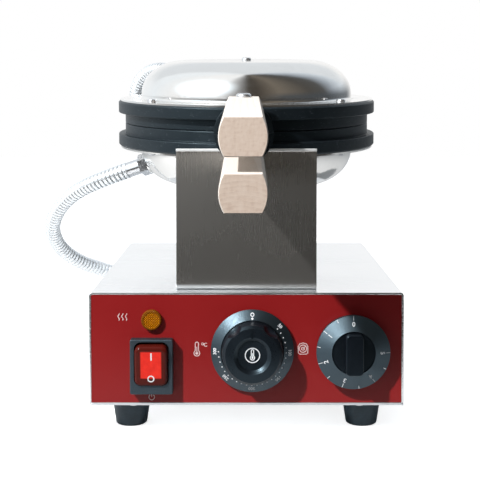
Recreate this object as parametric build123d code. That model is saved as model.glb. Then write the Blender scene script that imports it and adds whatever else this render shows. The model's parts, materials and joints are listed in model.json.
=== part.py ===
from build123d import *
import os
from math import cos, hypot, pi, radians, sin, sqrt

os.makedirs("parts", exist_ok=True)

# Frame: X across, Y to the rear, Z up from the surface that the feet stand on.
# The driving dimensions are in millimetres and degrees.
panel_y = -61.0
foot_height = 22.5
base_width = 250.0
base_depth = 300.0
base_height = 90.0
sheet = 1.5
plate_t = 2.0
bend_r = 2.5
flange_w = 14.0

rear_y = panel_y + base_depth
base_top = foot_height + base_height
plate_top = foot_height + plate_t

# Feet
foot_x = 94.5
foot_inset = 30.0
foot_top_r = 15.9
foot_end_r = 12.6

# The iron hangs between the uprights of the stand and leans towards the front.
tilt = 3.4
iron_y = panel_y + 132.9
iron_z = base_top + 133.7
pivot_x = -2.0
journal_r = 24.1
cradle_r = 24.18
cradle_drop = 12.7
iron = Location((0, iron_y, iron_z), (tilt, 0, 0))

# Stand
stand_w = 113.0
stand_t = 2.0
stand_front = panel_y + 13.5
stand_rear = panel_y + 255.0
stand_bend = 4.0
lip_r = 3.0

# Mould halves
parting = 0.3
flange_r = 115.5
neck_r = 109.5
neck_t = 9.4
plate_back = 20.0
web_r = 102.0
web_depth = 3.0
cell_r = 13.5
cell_pitch = 33.0
rim_screw_r = 104.5
rim_screw_angle = 50.0
hinge_y = 146.0
hinge_r = 8.0
pin_r = 4.0
knuckle_w = 25.0
side_knuckle_w = 9.0
knuckle_gap = 0.5
rear_journal_end = 131.0

# Domes
dome_sheet = 0.8
brim_r = 113.8
brim_t = 1.5
dome_r = 95.0
dome_wall = 5.5
crown_r = 58.0
dome_height = 35.4
clamp_z = plate_back + 8.2

# Handles
handle_w = 30.2
handle_flat = 23.4
handle_t = 24.6
handle_gap = 9.7
handle_back = -124.5
front_reach = 206.0
rod_r = 5.0
handle_bolt_r = 3.0
handle_bolt_inset = 12.0

# Hoses: the points of each route run from the dome to the rear elbow.
hose_r = 7.6
hose_groove_r = 6.7
hose_bore_r = 5.4
hose_pitch = 4.2
ferrule_r = 7.2
hose_nut_af = 18.0
hose_nut_l = 8.0
fitting_l = 26.0
bush_l = 7.0
bush_rise = 5.0
lower_route = [
    (-110, 96, 200),
    (-136, 102, 191),
    (-165, 121, 177),
    (-185, 142, 159),
    (-196, 165, 137),
    (-193, 189, 115),
    (-176, 211, 96),
    (-151, 233, 84),
    (-126, 250, 72),
    (-99, 257, 64),
    (-71, 258, 60),
    (-43, 258, 60),
]
upper_route = [
    (-63, 170, 290),
    (-78, 193, 296),
    (-99, 214, 297),
    (-116, 234, 283),
    (-119, 250, 258),
    (-110, 257, 231),
    (-94, 256, 207),
    (-74, 257, 187),
    (-54, 258, 165),
    (-42, 258, 140),
    (-42, 258, 112),
]

# Controls on the front panel: centre X and Z of each
lamp_at = (-75.3, 91.1)
lamp_r = 8.2
switch_at = (-75.0, 54.9)
switch_w = 33.9
switch_h = 43.5
switch_window_rise = 2.5
rocker_w = 26.1
rocker_h = 32.2
rocker_tilt = 6.0
thermostat_at = (4.7, 66.8)
dial_r = 32.9
cap_r = 24.6
timer_at = (84.2, 66.8)
timer_skirt_r = 29.1
timer_hub_r = 17.2
timer_rise = 8.8
shaft_r = 3.0
control_screw_x = (-14, 14)

nodes = {}


def save(name, *solids):
    """Write one node: a single solid, or a group of separate ones."""
    shape = solids[0] if len(solids) == 1 else Compound(children=list(solids))
    shape.label = name
    nodes[name] = shape
    export_step(shape, f"parts/{name}.step")


def facing(origin, direction, x_dir=None):
    """Place whose z axis points along a direction."""
    return Plane(origin=origin, x_dir=x_dir, z_dir=direction).location


def bar(radius, low, high):
    """Round bar along z from low to high."""
    return Pos(0, 0, (low + high) / 2) * Cylinder(radius, high - low)


def ring(outer, inner, low, high):
    """Round ring along z from low to high."""
    return bar(outer, low, high) - bar(inner, low - 1, high + 1)


def hexagon(across_flats, low, high):
    """Hexagonal prism along z from low to high."""
    outline = RegularPolygon(across_flats / 2, 6, major_radius=False)
    return Pos(0, 0, low) * extrude(outline, high - low)


def slab(x0, x1, y0, y1, z0, z1):
    """Box between two corners."""
    centre = Pos((x0 + x1) / 2, (y0 + y1) / 2, (z0 + z1) / 2)
    return centre * Box(x1 - x0, y1 - y0, z1 - z0)


def slot_cutter(place, length, width, depth):
    """Rounded slot, cut both ways from its place."""
    return place * extrude(SlotOverall(length, width), depth, both=True)


def pan_screw(head_r, head_h, shank_r, shank_l):
    """Cross-recessed screw: head above z = 0, shank below."""
    head = bar(head_r, 0, head_h)
    head = fillet(head.edges().group_by(Axis.Z)[-1], head_h * 0.55)
    arm = head_r * 0.95
    cross = Box(arm, arm * 0.22, head_h) + Box(arm * 0.22, arm, head_h)
    return head - Pos(0, 0, head_h) * cross + bar(shank_r, -shank_l, 0)


def nut(across_flats, bore, low, high):
    """Hexagonal nut along z."""
    return hexagon(across_flats, low, high) - bar(bore, low - 1, high + 1)


def panel_place(at):
    """Place on the front panel, z axis pointing out of the panel."""
    return facing((at[0], panel_y, at[1]), (0, -1, 0), (1, 0, 0))


def rear_place(x, z):
    """Place on the rear wall, z axis pointing out of the wall."""
    return facing((x, rear_y, z), (0, 1, 0), (-1, 0, 0))


# Hose ends and rear elbows
elbow_reach = lower_route[-1][1] - rear_y
elbow_run = 26.0
lower_elbow_at = (lower_route[-1][0] + elbow_run, lower_route[-1][2])
upper_elbow_at = (upper_route[-1][0], upper_route[-1][2] - elbow_run)
elbow_hole_r = 8.2
mains_at = (80.0, 52.0)
mains_hole_r = 8.2

# Screw places
plate_screws = [(s * (foot_x - 4), panel_y + 8.5) for s in (-1, 1)]
plate_screws += [(s * 60, rear_y - 9) for s in (-1, 1)]
side_screw_x = base_width / 2 - 9
plate_screws += [(s * side_screw_x, panel_y + d) for s in (-1, 1) for d in (75, 150, 225)]
stand_bolt_places = [(s * 38, panel_y + d) for s in (-1, 1) for d in (45, 215)]
foot_places = [
    (s * foot_x, y)
    for s in (-1, 1)
    for y in (panel_y + foot_inset, rear_y - foot_inset)
]


def folded_box(x, y0, y1, z0, z1, radius):
    """Box rounded on its folded edges: the long top ones and those of the rear."""
    box = slab(-x, x, y0, y1, z0, z1)
    folds = box.edges().filter_by(Axis.Y).group_by(Axis.Z)[-1]
    folds += box.edges().filter_by(Axis.X).group_by(Axis.Z)[-1].sort_by(Axis.Y)[-1:]
    folds += box.edges().filter_by(Axis.Z).group_by(Axis.Y)[-1]
    return fillet(folds, radius)


def base_cover():
    """Cover of the base: top, sides and rear wall, with flanges for the bottom plate."""
    half = base_width / 2
    shell = folded_box(half, panel_y, rear_y, plate_top, base_top, bend_r)
    inside_r = bend_r - sheet
    inside = folded_box(
        half - sheet, panel_y - 5, rear_y - sheet, plate_top - 5, base_top - sheet, inside_r
    )
    cover = shell - inside
    fold_top = plate_top + sheet
    for side in (-1, 1):
        edges = sorted((side * (half - flange_w), side * (half - sheet / 2)))
        cover += slab(*edges, panel_y + 16, rear_y - sheet, plate_top, fold_top)
    cover += slab(-half + 3, half - 3, rear_y - flange_w, rear_y - 1, plate_top, fold_top)
    for x, y in plate_screws[2:]:
        cover -= Pos(x, y, 0) * bar(2.0, plate_top - 1, fold_top + 1)
    for x, y in stand_bolt_places:
        cover -= Pos(x, y, 0) * bar(2.8, base_top - 5, base_top + 1)
    cover -= rear_place(*mains_at) * bar(mains_hole_r, -5, 5)
    cover -= rear_place(*lower_elbow_at) * bar(elbow_hole_r, -5, 5)
    cover -= rear_place(*upper_elbow_at) * bar(elbow_hole_r, -5, 5)
    for row in range(5):
        cover -= slot_cutter(rear_place(28, 45 + 11 * row), 46, 4, 5)
    for step in range(8):
        y = panel_y + 150 + 12 * step
        side_slot = facing((0, y, 52), (1, 0, 0), (0, 0, 1))
        cover -= slot_cutter(side_slot, 34, 4, base_width)
    return cover


def bottom_plate():
    """Plate under the base, slotted for air."""
    plate = slab(
        -base_width / 2, base_width / 2, panel_y, rear_y, foot_height, plate_top
    )
    plate = fillet(plate.edges().filter_by(Axis.Z), 2.0)
    for x, y in plate_screws:
        plate -= Pos(x, y, 0) * bar(2.1, foot_height - 1, plate_top + 1)
    for x, y in foot_places:
        plate -= Pos(x, y, 0) * bar(2.5, foot_height - 1, plate_top + 1)
    for column in range(9):
        for y in (panel_y + 95, panel_y + 205):
            place = Pos(18 * (column - 4), y, foot_height) * Rot(0, 0, 90)
            plate -= slot_cutter(place, 50, 5, 5)
    return plate


def front_panel():
    """Front sheet with a return along its top and bottom."""
    half = base_width / 2 - sheet - 0.2
    low = plate_top + 0.1
    high = base_top - sheet - 0.2
    panel = slab(-half, half, panel_y + 0.2, panel_y + 0.2 + sheet, low, high)
    panel = fillet(panel.edges().filter_by(Axis.Y).group_by(Axis.Z)[-1], 0.6)
    for z in (low, high - sheet):
        panel += slab(-half + 1, half - 1, panel_y + 0.3, panel_y + flange_w, z, z + sheet)
    for x, y in plate_screws[:2]:
        panel -= Pos(x, y, 0) * bar(2.0, low - 1, low + sheet + 1)
    panel -= panel_place(lamp_at) * bar(7.0, -5, 5)
    window = (switch_at[0], switch_at[1] + switch_window_rise - 2)
    panel -= panel_place(window) * Box(31.4, 38.8, 10)
    for at in (thermostat_at, timer_at):
        panel -= panel_place(at) * bar(5.0, -5, 5)
        for x in control_screw_x:
            panel -= panel_place(at) * Pos(x, 0, 0) * bar(2.1, -5, 5)
    return panel


def rubber_foot():
    """Tapered foot, hollow below for its screw."""
    points = [
        (2.5, foot_height),
        (foot_top_r, foot_height),
        (foot_end_r, 0),
        (7.5, 0),
        (7.5, 9),
        (2.5, 9),
    ]
    section = Plane.XZ * make_face(Polyline(*points, close=True))
    foot = revolve(section, Axis.Z)
    rim = foot.edges().group_by(Axis.Z)[0].sort_by(SortBy.RADIUS)[-1]
    return fillet(rim, 2.0)


def foot_screw():
    """Screw, washer and nut of one foot."""
    screw = Pos(0, 0, 8) * Rot(180, 0, 0) * pan_screw(4.2, 2.5, 2.2, 25)
    washer = ring(7.0, 2.4, 8.0, 9.0)
    return [screw, washer, nut(8, 2.25, plate_top, plate_top + 4)]


save("base_cover", base_cover())
save("bottom_plate", bottom_plate())
save("front_panel", front_panel())
save("rubber_feet", *[Pos(x, y, 0) * rubber_foot() for x, y in foot_places])
save("foot_screws", *[Pos(x, y, 0) * s for x, y in foot_places for s in foot_screw()])
save(
    "plate_screws",
    *[
        Pos(x, y, foot_height) * Rot(180, 0, 0) * pan_screw(4.25, 2.0, 1.9, 9)
        for x, y in plate_screws
    ],
)


def upright_top(y):
    """Height of the stand's top edge at a depth, below the pivot's axis."""
    return iron_z + (y - iron_y) * sin(radians(tilt)) / cos(radians(tilt)) - cradle_drop


def rolled_lip(face_y, top, way):
    """Rolled top edge of an upright: way is -1 towards the front, 1 to the rear."""
    back = face_y - way * stand_t
    centre = face_y + way * 1.0
    end = face_y + way * 2.2
    inner = lip_r - stand_t
    with BuildSketch(Plane.YZ) as section:
        with BuildLine():
            a = RadiusArc((back, top - lip_r), (centre, top), way * lip_r)
            b = Polyline((centre, top), (end, top), (end, top - stand_t), (centre, top - stand_t))
            c = RadiusArc((centre, top - stand_t), (face_y, top - lip_r), -way * inner)
            Line((face_y, top - lip_r), (back, top - lip_r))
        make_face()
    return extrude(section.sketch, stand_w / 2, both=True)


def iron_stand():
    """One bent sheet: front upright, floor and rear upright, with a cradle in each."""
    front_top = upright_top(stand_front)
    rear_top = upright_top(stand_rear)
    half = stand_w / 2
    outer = slab(-half, half, stand_front, stand_rear, base_top, rear_top + 20)
    inner = slab(
        -half - 1,
        half + 1,
        stand_front + stand_t,
        stand_rear - stand_t,
        base_top + stand_t,
        rear_top + 30,
    )
    outer = fillet(outer.edges().filter_by(Axis.X).group_by(Axis.Z)[0], stand_bend)
    inner = fillet(inner.edges().filter_by(Axis.X).group_by(Axis.Z)[0], stand_bend - stand_t)
    stand = outer - inner
    middle = (stand_front + stand_rear) / 2
    stand -= slab(-half - 1, half + 1, stand_front - 1, middle, front_top - lip_r, rear_top + 40)
    stand -= slab(-half - 1, half + 1, middle, stand_rear + 1, rear_top - lip_r, rear_top + 40)
    stand += rolled_lip(stand_front, front_top, -1)
    stand += rolled_lip(stand_rear, rear_top, 1)
    stand -= iron * Pos(pivot_x, 0, 0) * Rot(90, 0, 0) * bar(cradle_r, -160, 160)
    for x, y in stand_bolt_places:
        stand -= Pos(x, y, base_top) * bar(2.8, -1, stand_t + 1)
    return stand


def stand_bolt():
    """Bolt, washer and nut that hold the stand to the cover."""
    bolt = Pos(0, 0, stand_t + 1) * pan_screw(4.75, 2.8, 2.45, 12)
    washer = ring(5.5, 2.6, stand_t, stand_t + 1)
    return [bolt, washer, nut(8, 2.5, -sheet - 4, -sheet)]


save("iron_stand", iron_stand())
save(
    "stand_bolts",
    *[Pos(x, y, base_top) * s for x, y in stand_bolt_places for s in stand_bolt()],
)

# Rocker switch
switch_place = panel_place(switch_at)
window_place = switch_place * Pos(0, switch_window_rise, 0)
window_w = rocker_w + 1.5
window_h = rocker_h + 2.4
bezel_out = 8.0
rocker_out = 12.0
rocker_pivot = 2.0


def switch_housing():
    """Frame in front of the panel and the open box behind it."""
    frame = extrude(RectangleRounded(switch_w, switch_h, 1.5), bezel_out)
    frame = fillet(frame.edges().group_by(Axis.Z)[-1], 0.8)
    body = Pos(0, switch_window_rise - 2, -11) * Box(31, 38.4, 22)
    shell = switch_place * (frame + body)
    cavity = extrude(RectangleRounded(window_w, window_h, 5.5), bezel_out + 1)
    cavity += Pos(0, 0, -9) * Box(window_w, window_h, 18)
    shell -= window_place * cavity
    pivot = window_place * Pos(0, 0, -rocker_pivot) * Rot(0, 90, 0)
    return shell - pivot * bar(1.6, -window_w / 2 - 1.2, window_w / 2 + 1.2)


def rocker():
    """Hollow rocker with a rounded face and two pivot pins, off side pressed in."""
    block = extrude(RectangleRounded(rocker_w, rocker_h, 5), rocker_out + 6)
    block = fillet(block.edges().group_by(Axis.Z)[-1], 2.6)
    hollow = extrude(RectangleRounded(rocker_w - 5, rocker_h - 5, 3), rocker_out + 3.2)
    body = Pos(0, 0, -6) * (block - hollow)
    body += Pos(0, 0, -rocker_pivot) * Rot(0, 90, 0) * (
        bar(1.5, rocker_w / 2 - 2, rocker_w / 2 + 1.7)
        + bar(1.5, -rocker_w / 2 - 1.7, -rocker_w / 2 + 2)
    )
    return rocker_rest * body


def rocker_diffuser():
    """Bright plate behind the face of the rocker."""
    plate = Pos(0, 0, rocker_out - 3.6) * Box(16, 20, 1.4)
    for side in (-1, 1):
        plate += Pos(side * 9.2, 0, rocker_out - 3.6) * Box(2.6, 8, 1.4)
    return rocker_rest * plate


rocker_swing = Pos(0, 0, -rocker_pivot) * Rot(rocker_tilt, 0, 0) * Pos(0, 0, rocker_pivot)
rocker_rest = window_place * rocker_swing


def switch_terminals():
    """Four flat blades behind the switch and the contact plate they share."""
    blades = []
    for x in (-6, 6):
        for y in (-9, 9):
            blades.append(switch_place * Pos(x, y, -26) * Box(0.8, 6.3, 8))
    return blades


save("switch_housing", switch_housing())
save("rocker", rocker())
save("rocker_diffuser", rocker_diffuser())
save("switch_terminals", *switch_terminals())

# Pilot lamp
lamp_place = panel_place(lamp_at)


def lamp_lens():
    """Amber lens with a rounded rim and a crossed grid of ridges."""
    lens = bar(lamp_r, 0, 3.6)
    lens = fillet(lens.edges().group_by(Axis.Z)[-1], 1.2)
    lens -= bar(6.5, 2.4, 5)
    lens += bar(6.8, -9, 0)
    lens -= bar(5.4, -10, 0.8)
    grid = []
    for step in range(-4, 5):
        grid.append(Pos(step * 1.45, 0, 2.6) * Box(0.6, 13, 0.8))
        grid.append(Pos(0, step * 1.45, 2.6) * Box(13, 0.6, 0.8))
    ridges = grid[0].fuse(*grid[1:]) & bar(6.6, 2.2, 3.0)
    return lamp_place * (lens + ridges)


def lamp_body():
    """Lamp holder behind the panel."""
    body = bar(8.8, -14, -2.2) - bar(6.9, -15, 0)
    body += bar(8.8, -24, -14)
    for x in (-4, 4):
        body += Pos(x, 0, -27) * Box(0.8, 4.8, 7)
    return lamp_place * body


save("pilot_lamp_lens", lamp_lens())
save("pilot_lamp_body", lamp_body())
save("pilot_lamp_bulb", lamp_place * (bar(2.6, -14, -3) + Pos(0, 0, -3) * Sphere(2.6)))

# Thermostat
thermostat_place = panel_place(thermostat_at)


def dial_skirt():
    """Numbered cone with a sleeve for the shaft."""
    points = [
        (3.2, 1.5),
        (30.5, 1.5),
        (dial_r, 2.4),
        (dial_r, 3.2),
        (cap_r + 0.5, 7.0),
        (cap_r + 0.5, 6.0),
        (cap_r - 0.8, 5.0),
        (9.0, 5.0),
        (9.0, 7.0),
        (3.2, 7.0),
    ]
    section = Plane.XZ * make_face(Polyline(*points, close=True))
    return thermostat_place * revolve(section, Axis.Z)


def dial_cap():
    """Grip cap: a dished round cap with two finger scallops beside its pointer."""
    points = [
        (0, 7.2),
        (9.2, 7.2),
        (9.2, 5.2),
        (cap_r - 1.0, 5.2),
        (cap_r, 6.3),
        (cap_r - 1.2, 18.5),
        (cap_r - 3.4, 20.8),
        (14.6, 21.6),
        (13.2, 20.8),
        (11.6, 18.6),
        (0, 18.0),
    ]
    section = Plane.XZ * make_face(Polyline(*points, close=True))
    cap = revolve(section, Axis.Z)
    cap -= bar(shaft_r + 0.02, 5, 14)
    for side in (-1, 1):
        angle = radians(90 + side * 38)
        cap -= Pos(31 * cos(angle), 31 * sin(angle), 18.5) * Sphere(11)
    cap -= Pos(0, 16.8, 21.4) * Box(1.4, 7.0, 1.6)
    return thermostat_place * cap


def control_shaft(place, reach):
    """Shaft of a control, from inside its body to inside its knob."""
    return place * bar(shaft_r, -9.8, reach)


def thermostat_body():
    """Thermostat: round bulb bellows on a square case, held by two screws."""
    case = Pos(0, 0, -18) * Box(40, 34, 16)
    case += bar(15, -32, -26)
    case += control_neck(8)
    return thermostat_place * (case - bar(shaft_r + 0.05, -10, -1))


def control_neck(radius):
    """Neck of a control and the plate that its two screws hold."""
    neck = bar(radius, -10, -2.2) + Pos(0, 0, -3.2) * Box(36, 14, 2)
    for x in control_screw_x:
        neck -= Pos(x, 0, 0) * bar(1.95, -6, 0)
    return neck


def fixing_screws(place):
    """Two screws that hold a control to the panel."""
    return [place * Pos(x, 0, -0.2) * pan_screw(3.4, 1.3, 1.9, 3.9) for x in control_screw_x]


save("thermostat_body", thermostat_body())
save("thermostat_shaft", control_shaft(thermostat_place, 13.5))
save("thermostat_skirt", dial_skirt())
save("thermostat_cap", dial_cap())

# Timer
timer_place = panel_place(timer_at)


def timer_knob():
    """Hollow knob: a side wall, a numbered cone, a dished hub and a bar grip."""
    hub_top = timer_rise + 3.6
    points = [
        (shaft_r + 0.02, 1.5),
        (8.0, 1.5),
        (8.0, timer_rise),
        (timer_skirt_r - 3.0, timer_rise - 2.4),
        (timer_skirt_r - 2.6, 1.5),
        (timer_skirt_r - 0.6, 1.5),
        (timer_skirt_r, timer_rise - 1.2),
        (timer_skirt_r, timer_rise),
        (timer_hub_r, hub_top),
        (timer_hub_r - 0.8, hub_top - 0.8),
        (shaft_r + 0.02, hub_top - 0.8),
    ]
    section = Plane.XZ * make_face(Polyline(*points, close=True))
    knob = revolve(section, Axis.Z)
    grip = Pos(0, 0, hub_top - 1.4) * extrude(RectangleRounded(13.8, 31.8, 3.4), 10)
    grip = fillet(grip.edges().group_by(Axis.Z)[-1], 1.0)
    knob += grip
    return timer_place * (knob - bar(shaft_r + 0.02, 1, hub_top + 5.6))


def timer_body():
    """Clockwork timer case with its mounting plate."""
    case = Pos(0, 0, -18) * Box(44, 44, 18)
    case = fillet(case.edges().filter_by(Axis.Z), 5)
    case += bar(19, -33, -27)
    case += control_neck(7)
    return timer_place * (case - bar(shaft_r + 0.05, -10, -1))


save("timer_body", timer_body())
save("timer_shaft", control_shaft(timer_place, timer_rise + 8.7))
save("timer_knob", timer_knob())
save("control_screws", *fixing_screws(thermostat_place), *fixing_screws(timer_place))


def terminal_block():
    """Ceramic block with three clamp ways."""
    block = Box(44, 24, 16)
    block = fillet(block.edges().filter_by(Axis.Z), 2)
    for x in (-14, 0, 14):
        block -= Pos(x, 0, -2) * Rot(90, 0, 0) * bar(2.6, -20, 20)
        for y in (-6, 6):
            block -= Pos(x, y, 0) * bar(2.2, 0, 20)
    return Pos(70, rear_y - 60, plate_top + 8) * block


save("terminal_block", terminal_block())


def mains_gland():
    """Cable gland: flanged hexagon, domed nut and lock nut inside."""
    body = hexagon(22, 0, 5)
    dome = bar(10, 5, 16)
    dome = fillet(dome.edges().group_by(Axis.Z)[-1], 3)
    body += dome + bar(7.9, -10, 0) + hexagon(22, -sheet - 5, -sheet)
    return rear_place(*mains_at) * (body - bar(4.0, -12, 20))


def hose_elbow(at, direction):
    """Right-angle fitting that carries a hose through the rear wall."""
    place = rear_place(*at)
    corner = Vector(at[0], rear_y + elbow_reach, at[1])
    arm = facing(corner, direction, (abs(direction[2]), 0, abs(direction[0])))
    elbow = place * (hexagon(20, 0, 5) + bar(7.4, 0, elbow_reach))
    elbow += place * (bar(7.9, -9, 0) + hexagon(20, -sheet - 5, -sheet))
    elbow += Location(corner) * Sphere(8.8)
    elbow += arm * (bar(7.4, 0, 10) + hexagon(hose_nut_af, 9, 17) + bar(ferrule_r, 17, elbow_run))
    bore = place * bar(4.6, -12, elbow_reach) + arm * bar(4.6, 0, elbow_run + 1)
    return elbow - (bore + Location(corner) * Sphere(4.6))


save("mains_gland", mains_gland())
save("lower_hose_elbow", hose_elbow(lower_elbow_at, (-1, 0, 0)))
save("upper_hose_elbow", hose_elbow(upper_elbow_at, (0, 0, 1)))

# Iron. Each half is made with its parting face down, then turned over for the lower one.
over = Rot(0, 180, 0)


def cell_centres():
    """Centres of the cells: a triangular lattice inside the web."""
    reach = web_r - cell_r
    for row in range(-3, 4):
        for column in range(-4, 5):
            x = cell_pitch * (column + 0.5 * (row % 2))
            y = cell_pitch * row * sqrt(3) / 2
            if hypot(x, y) < reach:
                yield x, y


def half_round(axis_x, y0, y1):
    """Half of a pivot: a half-round bar along y above the parting face."""
    journal = Pos(axis_x, 0, 0) * Rot(-90, 0, 0) * bar(journal_r, y0, y1)
    return journal & slab(-60, 60, y0 - 1, y1 + 1, parting / 2, 60)


def mould_half(flip):
    """Mould plate: neck, flange, pivots and bubble cells. flip is -1 on the lower half."""
    low = parting / 2
    points = [
        (0, low),
        (neck_r - 0.5, low),
        (neck_r, low + 0.5),
        (neck_r, neck_t),
        (flange_r - 0.5, neck_t),
        (flange_r, neck_t + 0.5),
        (flange_r, plate_back - 1.4),
        (flange_r - 1.4, plate_back),
        (0, plate_back),
    ]
    mould = revolve(Plane.XZ * make_face(Polyline(*points, close=True)), Axis.Z)
    axis_x = flip * pivot_x
    ends = half_round(axis_x, handle_back, -neck_r + 4)
    ends += half_round(axis_x, neck_r - 4, rear_journal_end)
    ends -= bar(brim_r + 0.8, plate_back, 60)
    mould += ends
    cells = bar(web_r, -1, low + web_depth)
    for x, y in cell_centres():
        cells += Pos(x, y, 0) * Sphere(cell_r)
    mould -= cells
    for x, y in rim_screw_places():
        mould -= Pos(x, y, 0) * bar(2.05, plate_back - 12, plate_back + 1)
    mould -= bar(3.02, 14.8, plate_back + 1)
    mould -= Pos(axis_x, 0, 0) * rod_place * bar(rod_r + 0.02, -1, 40)
    return mould + Pos(axis_x, 0, 0) * hinge_knuckles(flip)


def rim_screw_places():
    """Places of the four screws of a dome's brim."""
    for angle in (rim_screw_angle, 180 - rim_screw_angle):
        for side in (-1, 1):
            turn = radians(side * angle - 90)
            yield rim_screw_r * cos(turn), rim_screw_r * sin(turn)


def hinge_knuckles(flip):
    """Knuckles behind the rear pivot: two at the sides below, one in the middle above."""
    middle = knuckle_w / 2
    outer = middle + knuckle_gap + side_knuckle_w
    spans = [(-middle, middle)]
    if flip < 0:
        spans = [(-outer, -middle - knuckle_gap), (middle + knuckle_gap, outer)]
    knuckles = None
    for x0, x1 in spans:
        arm = slab(x0, x1, rear_journal_end - 6, hinge_y, parting / 2, 9)
        piece = arm + Pos(0, hinge_y, 0) * Rot(0, 90, 0) * bar(hinge_r, x0, x1)
        knuckles = piece if knuckles is None else knuckles + piece
    bore = pin_r + (0.06 if flip > 0 else 0.01)
    return knuckles - Pos(0, hinge_y, 0) * Rot(0, 90, 0) * bar(bore, -50, 50)


def dome_profile(inset):
    """Half outline of a dome as a solid of revolution, drawn in by the sheet."""
    wall = dome_r - inset
    top = dome_height - inset
    with BuildSketch(Plane.XZ) as section:
        with BuildLine():
            Line((0, 0), (wall, 0))
            Line((wall, 0), (wall, dome_wall))
            EllipticalCenterArc(
                (crown_r, dome_wall), wall - crown_r, top - dome_wall, 0, arc_size=90
            )
            Line((crown_r, top), (0, top))
            Line((0, top), (0, 0))
        make_face()
    return revolve(section.sketch, Axis.Z)


def dome(route, flip):
    """Pressed dome with its brim and a welded bush that seats the hose fitting."""
    inner = Pos(0, 0, plate_back) * dome_profile(dome_sheet)
    shell = Pos(0, 0, plate_back) * (dome_profile(0) + bar(brim_r, 0, brim_t))
    foot = Pos(0, 0, plate_back) * bar(dome_r + 2.4, 0, brim_t + 2.4)
    cove = Pos(0, 0, plate_back + brim_t + 2.4) * Torus(dome_r + 2.4, 2.4)
    shell += foot - cove
    bush = half_place(route, flip) * bar(10.5, -bush_l, bush_rise) - bar(brim_r, 0, plate_back)
    shell = shell - inner + bush
    shell -= half_place(route, flip) * bar(6.1, -30, 6)
    shell -= bar(3.2, plate_back + 20, plate_back + 60)
    for x, y in rim_screw_places():
        shell -= Pos(x, y, 0) * bar(2.2, plate_back - 1, plate_back + 10)
    return shell


def half_place(route, flip):
    """Seat of a hose fitting in the frame of the half that carries it."""
    start = Vector(*route[0])
    way = (Vector(*route[0]) - Vector(*route[1])).normalized()
    seat = facing(start + way * fitting_l, -way)
    turn = over if flip < 0 else Location()
    return (iron * turn).inverse() * seat


def hose_fitting(route):
    """Lock nut, hexagon and ferrule of a hose at its dome, along the hose's first run."""
    start = Vector(*route[0])
    way = (Vector(*route[0]) - Vector(*route[1])).normalized()
    seat = facing(start + way * fitting_l, -way)
    nut_end = bush_rise + hose_nut_l
    fitting = bar(6.0, -bush_l - 5, nut_end) + hexagon(hose_nut_af, bush_rise, nut_end)
    fitting += bar(ferrule_r, nut_end - 1, fitting_l)
    fitting += hexagon(16, -bush_l - 4, -bush_l - 0.1)
    return seat * (fitting - bar(4.6, -bush_l - 6, fitting_l + 1))


def heater():
    """Tubular heating loop on the back of a mould, with raised ends."""
    loop = CenterArc((0, 0, 0), 62, 110, 320)
    place = Pos(0, 0, plate_back + 4.05)
    tube = sweep(Plane(origin=loop @ 0, z_dir=loop % 0) * Circle(4), path=loop)
    ends = []
    for at in (0, 1):
        foot = loop @ at
        ends.append(Pos(foot.X, foot.Y, 0) * bar(3.2, 0, 14))
    return place * (tube + ends[0] + ends[1])


def clamp_plate():
    """Plate that presses the heating loop to the mould, open where its ends rise."""
    plate = bar(72, clamp_z, clamp_z + 2) + bar(12, plate_back + 0.1, clamp_z)
    return plate - slab(-32, 32, 46, 80, 0, 60) - bar(3.3, 0, 60)


def clamp_nut():
    """Nut that holds the clamp plate down."""
    return nut(10, 3.02, clamp_z + 2, clamp_z + 7)


def centre_screw():
    """Long screw from the mould through the clamp plate to the top of the dome."""
    top = plate_back + dome_height
    return Pos(0, 0, top) * pan_screw(4.2, 2.4, 3.0, top - 15.5)


def rim_screw_set():
    """Screws of a dome's brim."""
    height = plate_back + brim_t
    screw = pan_screw(3.8, 2.6, 2.0, 11)
    return [Pos(x, y, height) * screw for x, y in rim_screw_places()]


def handle():
    """Wooden grip: flat above and below, bowed at the sides."""
    half_t = handle_t / 2
    flat = handle_flat / 2
    bow = handle_w / 2
    with BuildSketch(Plane.XZ) as section:
        with BuildLine():
            Line((-flat, -half_t), (flat, -half_t))
            ThreePointArc((flat, -half_t), (bow, 0), (flat, half_t))
            Line((flat, half_t), (-flat, half_t))
            ThreePointArc((-flat, half_t), (-bow, 0), (-flat, -half_t))
        make_face()
    grip = extrude(section.sketch, handle_length)
    grip = chamfer(grip.edges().group_by(Axis.Y)[0], 0.6)
    grip = chamfer(grip.edges().group_by(Axis.Y)[-1], 0.6)
    place = Pos(0, handle_back, handle_mid)
    grip = place * grip
    bolt_y = handle_back - handle_bolt_inset
    grip -= Pos(0, bolt_y, 0) * bar(handle_bolt_r + 0.1, 0, 60)
    grip -= Pos(0, bolt_y, 0) * bar(nut_recess_r, 0, handle_gap / 2 + 5)
    grip -= rod_place * bar(rod_r + 0.1, -10, rod_length + 2)
    return grip


# The front end of the upper handle is the object's foremost point.
handle_mid = handle_gap / 2 + handle_t / 2
handle_top = handle_gap / 2 + handle_t
lean_reach = handle_top * sin(radians(tilt))
handle_front = -(front_reach + iron_y - panel_y - lean_reach) / cos(radians(tilt))
handle_length = handle_back - handle_front
nut_recess_r = 6.2
rod_inset = 8.5
rod_length = rod_inset + 150
rod_place = Pos(0, handle_back + rod_inset, handle_mid) * Rot(90, 0, 0)


def handle_rod():
    """Rod from the pivot into the grip, drilled across for the grip's bolt."""
    rod = rod_place * bar(rod_r, 0, rod_length)
    return rod - Pos(0, handle_back - handle_bolt_inset, 0) * bar(handle_bolt_r + 0.05, 0, 60)


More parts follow.
